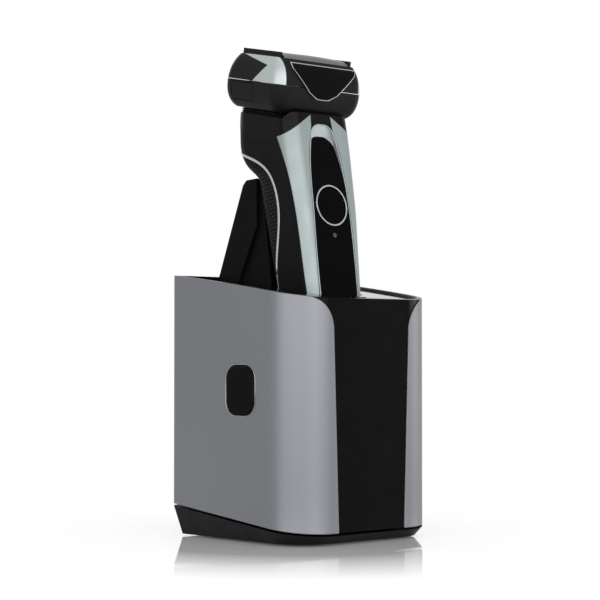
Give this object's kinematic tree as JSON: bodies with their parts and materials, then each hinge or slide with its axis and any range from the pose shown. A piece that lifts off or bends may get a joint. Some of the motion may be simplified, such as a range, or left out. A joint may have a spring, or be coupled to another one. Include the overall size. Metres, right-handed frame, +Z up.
{
  "type": "electric shaver",
  "caption": "Foil shaver standing in a charging and cleaning dock, with a rocking head, lift-off foil cassette, pop-up trimmer and a liquid tray under the dock",
  "frame": {"origin": "on the floor under the middle of the dock", "axes": "+Z up, front of the dock towards -Y, +X to the right seen from the front"},
  "size_m": [0.1156, 0.114, 0.2926],
  "materials": {
    "silver_panel": "satin metallic silver paint",
    "gloss_black": "gloss black moulding",
    "satin_black": "satin black moulding",
    "inner_plastic": "plain grey moulding",
    "rubber_black": "soft black rubber",
    "silver_trim": "metallic silver paint",
    "bright_trim": "bright plated",
    "foil_steel": "perforated steel foil",
    "blade_steel": "ground steel",
    "pin_steel": "plain steel",
    "contact_metal": "plated contact metal",
    "motor_steel": "pressed steel can",
    "transformer_iron": "laminated core",
    "board_green": "circuit board",
    "battery_can": "sleeved cell",
    "lamp_lens": "clear lens"
  },
  "bodies": {
    "tray": {"cleaning_tray": "satin_black", "tray_feet": "rubber_black"},
    "dock": {"left_side_panel": "silver_panel", "right_side_panel": "silver_panel", "front_panel": "gloss_black", "rear_panel": "satin_black", "power_inlet": "satin_black", "top_deck": "gloss_black", "cradle": "satin_black", "dock_chassis": "inner_plastic", "charging_column": "satin_black", "column_contacts": "contact_metal", "transformer": "transformer_iron", "pump_housing": "inner_plastic", "pump_motor": "motor_steel", "dock_circuit_board": "board_green", "left_button_spring": "pin_steel", "right_button_spring": "pin_steel"},
    "left_release": {"left_release_button": "satin_black"},
    "right_release": {"right_release_button": "satin_black"},
    "start": {"start_button": "satin_black"},
    "shaver": {"bottom_cap": "satin_black", "front_shell": "satin_black", "rear_shell": "satin_black", "neck_collar": "gloss_black", "rear_grip": "rubber_black", "grip_line": "bright_trim", "left_band": "silver_trim", "right_band": "silver_trim", "arch_frame": "silver_trim", "front_inlay": "gloss_black", "button_ring": "bright_trim", "indicator_lamp": "lamp_lens", "charge_plates": "contact_metal", "inner_frame": "inner_plastic", "battery": "battery_can", "shaver_circuit_board": "board_green", "drive_motor": "motor_steel", "trimmer_pin": "pin_steel", "pivot_post": "pin_steel", "pivot_pin": "pin_steel", "neck_boot": "rubber_black"},
    "power": {"power_button": "satin_black"},
    "trimmer": {"trimmer_housing": "satin_black", "trimmer_comb": "blade_steel"},
    "trimmer_cutter": {"trimmer_blade": "blade_steel"},
    "head": {"head_base": "satin_black"},
    "left_foil_release": {"left_foil_button": "satin_black"},
    "right_foil_release": {"right_foil_button": "satin_black"},
    "foil_cassette": {"foil_frame": "satin_black", "left_cheek": "silver_trim", "right_cheek": "silver_trim", "front_window": "gloss_black", "front_trim": "bright_trim", "side_foils": "foil_steel", "centre_foil": "foil_steel"},
    "cutters": {"blade_carrier": "inner_plastic", "side_blades": "blade_steel", "centre_blade": "blade_steel"}
  },
  "joints": [
    {"name": "dock_lift", "type": "slide", "parent": "tray", "child": "dock", "axis": [0, 0, 1], "range_m": [0, 0.06]},
    {"name": "left_release_press", "type": "slide", "parent": "dock", "child": "left_release", "axis": [1, 0, 0], "range_m": [0, 0.0025], "stiffness_N_per_m": 600, "deforming": ["left_button_spring"]},
    {"name": "right_release_press", "type": "slide", "parent": "dock", "child": "right_release", "axis": [-1, 0, 0], "range_m": [0, 0.0025], "stiffness_N_per_m": 600, "deforming": ["right_button_spring"]},
    {"name": "start_press", "type": "slide", "parent": "dock", "child": "start", "axis": [0, 0, -1], "range_m": [0, 0.001], "stiffness_N_per_m": 500},
    {"name": "shaver_lift", "type": "slide", "parent": "dock", "child": "shaver", "axis": [0, 0.1736, 0.9848], "range_m": [0, 0.1]},
    {"name": "power_press", "type": "slide", "parent": "shaver", "child": "power", "axis": [0, 0.9848, -0.1736], "range_m": [0, 0.0012], "stiffness_N_per_m": 800},
    {"name": "trimmer_flip", "type": "hinge", "parent": "shaver", "child": "trimmer", "pos_m": [0, 0.03204, 0.24224], "axis": [1, 0, 0], "range_deg": [0, 62]},
    {"name": "trimmer_stroke", "type": "slide", "parent": "trimmer", "child": "trimmer_cutter", "axis": [1, 0, 0], "range_m": [-0.0008, 0.0008]},
    {"name": "head_rock", "type": "hinge", "parent": "shaver", "child": "head", "pos_m": [0, 0.01215, 0.26089], "axis": [0, 0.9816, 0.1908], "range_deg": [-6, 6], "stiffness_Nm_per_rad": 0.6, "deforming": ["neck_boot"]},
    {"name": "left_foil_press", "type": "slide", "parent": "head", "child": "left_foil_release", "axis": [1, 0, 0], "range_m": [0, 0.0012], "stiffness_N_per_m": 600},
    {"name": "right_foil_press", "type": "slide", "parent": "head", "child": "right_foil_release", "axis": [-1, 0, 0], "range_m": [0, 0.0012], "stiffness_N_per_m": 600},
    {"name": "cassette_lift", "type": "slide", "parent": "head", "child": "foil_cassette", "axis": [0, -0.1908, 0.9816], "range_m": [0, 0.03]},
    {"name": "blade_stroke", "type": "slide", "parent": "head", "child": "cutters", "axis": [1, 0, 0], "range_m": [-0.0012, 0.0012]}
  ]
}
